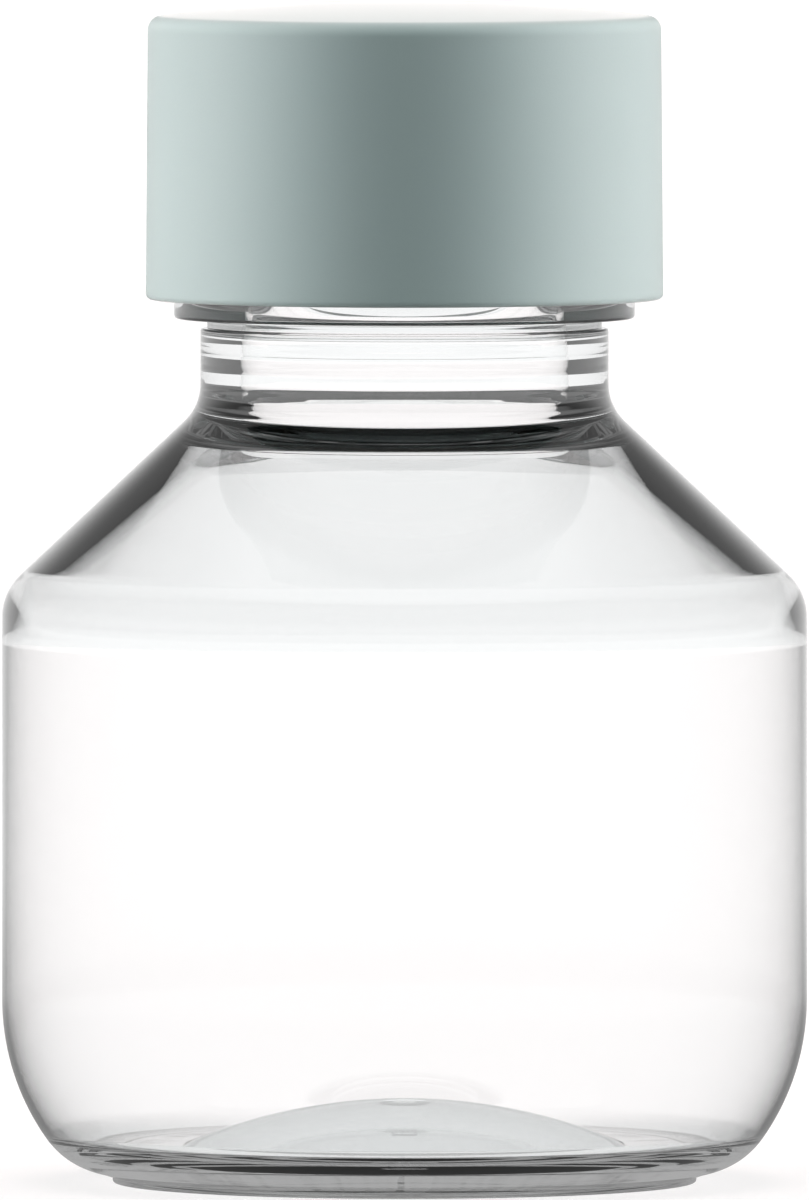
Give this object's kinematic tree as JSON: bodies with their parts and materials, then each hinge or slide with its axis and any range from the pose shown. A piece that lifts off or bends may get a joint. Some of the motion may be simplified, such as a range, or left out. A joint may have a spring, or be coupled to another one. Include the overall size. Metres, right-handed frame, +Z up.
{
  "type": "cosmetic bottle",
  "caption": "Squat round clear plastic bottle with sloped shoulder, support ring, screw thread neck and smooth matte double-wall screw cap.",
  "frame": {"origin": "centre of the foot's resting plane", "axes": "+Z up along the bottle's axis, through the middle of the mouth and the cap"},
  "size_m": [0.055, 0.055, 0.0808],
  "materials": {
    "clear_plastic": "clear blown plastic, smooth and glossy",
    "mint_cap_plastic": "fine matte moulded plastic, pale grey mint",
    "liner_foam": "closed-cell foam with a smooth skin, off white"
  },
  "bodies": {
    "bottle_body": {"bottle": "clear_plastic"},
    "liner_body": {"cap_liner": "liner_foam"},
    "cap_body": {"screw_cap": "mint_cap_plastic"}
  },
  "joints": [
    {"name": "cap_rise", "type": "slide", "parent": "bottle_body", "child": "liner_body", "axis": [0, 0, 1], "range_m": [0, 0.0212]},
    {"name": "cap_turn", "type": "hinge", "parent": "liner_body", "child": "cap_body", "pos_m": [0, 0, 0.07], "axis": [0, 0, 1], "range_deg": [0, 1800]}
  ],
  "couplings": [
    {"joint": "cap_rise", "follows": "cap_turn", "m_per_rad": 0.00067375}
  ]
}
